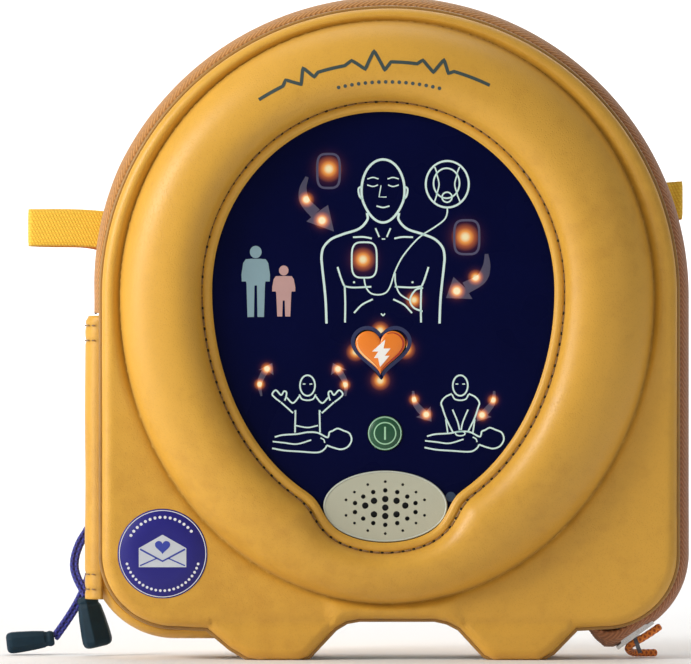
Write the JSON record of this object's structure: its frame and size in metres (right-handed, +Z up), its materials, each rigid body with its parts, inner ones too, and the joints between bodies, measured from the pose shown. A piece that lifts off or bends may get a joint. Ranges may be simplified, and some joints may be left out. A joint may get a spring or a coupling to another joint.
{
  "type": "defibrillator",
  "caption": "Portable defibrillator in a padded zipped carry case: the cover opens on a side hinge, the cartridge and its electrode drawer slide out below.",
  "frame": {"origin": "on the floor under the middle of the case, in the plane of the main zip", "axes": "+X to the right seen from the front, +Z up, the front faces -Y"},
  "size_m": [0.2764, 0.0755, 0.2644],
  "materials": {
    "cover_leather": "padded grained leather, mustard gold",
    "piping_leather": "rolled leather welt",
    "lining_fabric": "brushed lining",
    "foam": "closed-cell foam",
    "zip_tape": "herringbone tape",
    "zip_coil": "nylon coil",
    "webbing": "woven webbing",
    "tag_fabric": "woven tag",
    "slider_metal": "nickel plate",
    "cord_blue": "braided cord",
    "cord_orange": "braided cord",
    "grip_rubber": "moulded rubber",
    "label_film": "printed film",
    "housing_plastic": "fine spark texture",
    "seal_rubber": "moulded seal",
    "screw_steel": "machined",
    "panel_film": "printed membrane",
    "grille_plastic": "moulded",
    "driver_metal": "stamped",
    "lens": "clear tinted",
    "board": "solder mask",
    "led_epoxy": "clear",
    "switch_plastic": "moulded",
    "capacitor_can": "drawn can",
    "core_ferrite": "sintered",
    "relay_plastic": "moulded",
    "contact_brass": "plated",
    "button_green": "domed",
    "button_orange": "domed",
    "cartridge_plastic": "moulded",
    "battery_wrap": "shrink wrap",
    "drawer_plastic": "moulded",
    "tab_green": "moulded",
    "pad_foil": "sealed pouch"
  },
  "bodies": {
    "case_back": {"rear_shell": "cover_leather", "foam_cradle": "foam", "rear_piping": "piping_leather", "rear_zip_tape": "zip_tape", "rear_zip_coil": "zip_coil", "hinge_panel": "cover_leather", "base_gusset": "cover_leather", "strap_loop_left": "webbing", "strap_loop_right": "webbing", "side_tag": "tag_fabric", "pocket_tape_shell": "zip_tape", "pocket_coil_shell": "zip_coil", "pocket_hinge_strip": "cover_leather", "pocket_slider_lower": "slider_metal", "pocket_cord_lower": "cord_blue", "pocket_grip_lower": "grip_rubber", "housing_front": "housing_plastic", "housing_rear": "housing_plastic", "housing_gasket": "seal_rubber", "housing_screws": "screw_steel", "front_membrane": "panel_film", "speaker_grille": "grille_plastic", "speaker_driver": "driver_metal", "status_lens": "lens", "main_board": "board", "indicator_leds": "led_epoxy", "button_switches": "switch_plastic", "capacitor": "capacitor_can", "transformer": "core_ferrite", "relay_module": "relay_plastic", "cartridge_bay": "housing_plastic", "bay_contacts": "contact_brass"},
    "front_cover": {"front_shell": "cover_leather", "window_binding": "cover_leather", "cover_lining": "lining_fabric", "front_piping": "piping_leather", "front_zip_tape": "zip_tape", "front_zip_coil": "zip_coil", "round_label": "label_film"},
    "zip_slider": {"main_slider": "slider_metal", "slider_bail": "slider_metal", "main_pull_cord": "cord_orange"},
    "pocket_slider": {"pocket_slider_upper": "slider_metal"},
    "pocket_pull": {"pocket_cord_upper": "cord_blue", "pocket_grip_upper": "grip_rubber"},
    "rear_pocket": {"pocket_cover": "cover_leather", "pocket_tape_cover": "zip_tape", "pocket_coil_cover": "zip_coil"},
    "power_key": {"power_button": "button_green"},
    "shock_key": {"shock_button": "button_orange"},
    "pad_cartridge": {"cartridge_body": "cartridge_plastic", "cartridge_lid": "cartridge_plastic", "battery_cells": "battery_wrap", "cartridge_contacts": "contact_brass"},
    "electrode_drawer": {"drawer_tray": "drawer_plastic", "pull_tab": "tab_green", "electrode_pads": "pad_foil"}
  },
  "joints": [
    {"name": "cover_hinge", "type": "hinge", "parent": "case_back", "child": "front_cover", "pos_m": [-0.119, 0, 0.14], "axis": [0, 0, -1], "range_deg": [0, 110]},
    {"name": "zip_travel", "type": "hinge", "parent": "case_back", "child": "zip_slider", "pos_m": [0.0862, 0, 0.0425], "axis": [0, -1, 0], "range_deg": [0, 55]},
    {"name": "pocket_zip_travel", "type": "slide", "parent": "case_back", "child": "pocket_slider", "axis": [0, 0, 1], "range_m": [0, 0.085]},
    {"name": "pocket_pull_swing", "type": "hinge", "parent": "pocket_slider", "child": "pocket_pull", "pos_m": [-0.1174, 0.0345, 0.061], "axis": [0, 1, 0], "range_deg": [0, 20.6]},
    {"name": "pocket_hinge", "type": "hinge", "parent": "case_back", "child": "rear_pocket", "pos_m": [0, 0.0345, 0.0195], "axis": [-1, 0, 0], "range_deg": [0, 60]},
    {"name": "power_press", "type": "slide", "parent": "case_back", "child": "power_key", "axis": [0, 1, 0], "range_m": [0, 0.0008], "stiffness_N_per_m": 1500, "springref_m": -0.0004},
    {"name": "shock_press", "type": "slide", "parent": "case_back", "child": "shock_key", "axis": [0, 1, 0], "range_m": [0, 0.0008], "stiffness_N_per_m": 1500, "springref_m": -0.0004},
    {"name": "cartridge_slide", "type": "slide", "parent": "case_back", "child": "pad_cartridge", "axis": [0, 0, -1], "range_m": [0, 0.072]},
    {"name": "drawer_slide", "type": "slide", "parent": "pad_cartridge", "child": "electrode_drawer", "axis": [0, 0, -1], "range_m": [0, 0.03]}
  ],
  "couplings": [
    {"joint": "pocket_pull_swing", "follows": "pocket_zip_travel", "rad_per_m": 4.1}
  ]
}
